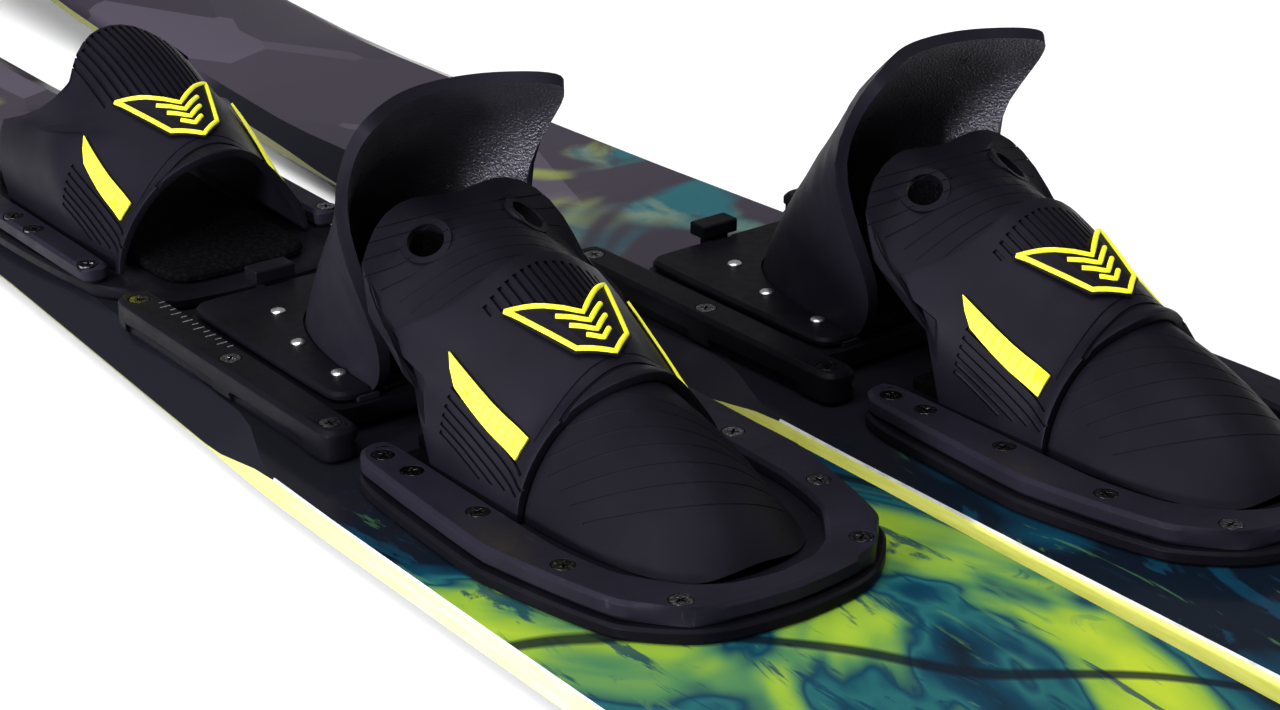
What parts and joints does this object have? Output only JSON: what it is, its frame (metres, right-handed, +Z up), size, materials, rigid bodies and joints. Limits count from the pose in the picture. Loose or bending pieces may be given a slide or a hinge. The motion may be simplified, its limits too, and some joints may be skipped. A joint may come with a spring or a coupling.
{
  "type": "combo water ski pair",
  "caption": "Pair of combo water skis with rubber front bindings, sliding heel cups with a lock tab, and a rear toe binding on one ski.",
  "frame": {"origin": "middle of the pair in plan, at the plane that the bellies and fins of the skis rest on", "axes": "+X towards the ski tips, +Y from ski A (with the rear toe binding) to ski B, +Z up"},
  "size_m": [1.7706, 0.3784, 0.1546],
  "materials": {
    "board_lacquer": "glossy printed top sheet",
    "fin_plastic": "moulded",
    "black_plastic": "fine moulded grain",
    "black_rubber": "matt",
    "neon_rubber": "satin neon yellow",
    "footbed_foam": "foam"
  },
  "bodies": {
    "ski_a": {"a_board": "board_lacquer", "a_fin": "fin_plastic", "a_base_plate": "black_plastic", "a_trim_frame": "black_plastic", "a_front_footbed": "footbed_foam", "a_toe_wrap": "black_rubber", "a_overlay": "black_rubber", "a_badge": "neon_rubber", "a_stripe_left": "neon_rubber", "a_stripe_right": "neon_rubber", "a_rail_left": "black_plastic", "a_rail_right": "black_plastic", "a_lock_rack": "black_plastic", "rear_base_plate": "black_plastic", "rear_footpad": "footbed_foam", "rear_frame_left": "black_plastic", "rear_frame_right": "black_plastic", "rear_overlay": "black_rubber", "rear_badge": "neon_rubber", "rear_stripe_left": "neon_rubber", "rear_stripe_right": "neon_rubber"},
    "heel_a": {"a_slider_base": "black_plastic", "a_slider_plate": "black_plastic", "a_heel_cup": "black_rubber", "a_heel_pad": "footbed_foam"},
    "lock_a": {"a_lock_tab": "black_plastic"},
    "ski_b": {"b_board": "board_lacquer", "b_fin": "fin_plastic", "b_base_plate": "black_plastic", "b_trim_frame": "black_plastic", "b_front_footbed": "footbed_foam", "b_toe_wrap": "black_rubber", "b_overlay": "black_rubber", "b_badge": "neon_rubber", "b_stripe_left": "neon_rubber", "b_stripe_right": "neon_rubber", "b_rail_left": "black_plastic", "b_rail_right": "black_plastic", "b_lock_rack": "black_plastic"},
    "heel_b": {"b_slider_base": "black_plastic", "b_slider_plate": "black_plastic", "b_heel_cup": "black_rubber", "b_heel_pad": "footbed_foam"},
    "lock_b": {"b_lock_tab": "black_plastic"}
  },
  "joints": [
    {"name": "heel_slide_a", "type": "slide", "parent": "ski_a", "child": "heel_a", "axis": [1, 0, 0], "range_m": [-0.01905, 0.00953]},
    {"name": "lock_lift_a", "type": "hinge", "parent": "heel_a", "child": "lock_a", "pos_m": [-0.17329, -0.10616, 0.0259], "axis": [0, 1, 0], "range_deg": [0, 6], "stiffness_Nm_per_rad": 0.6, "springref_deg": -3.44},
    {"name": "pair_spacing", "type": "slide", "parent": "ski_a", "child": "ski_b", "axis": [0, 1, 0], "range_m": [0, 0.06]},
    {"name": "heel_slide_b", "type": "slide", "parent": "ski_b", "child": "heel_b", "axis": [0.9997, 0.0262, 0], "range_m": [-0.02857, 0.00953]},
    {"name": "lock_lift_b", "type": "hinge", "parent": "heel_b", "child": "lock_b", "pos_m": [-0.10412, 0.07707, 0.0259], "axis": [-0.0262, 0.9997, 0], "range_deg": [0, 6], "stiffness_Nm_per_rad": 0.6, "springref_deg": -3.44}
  ]
}
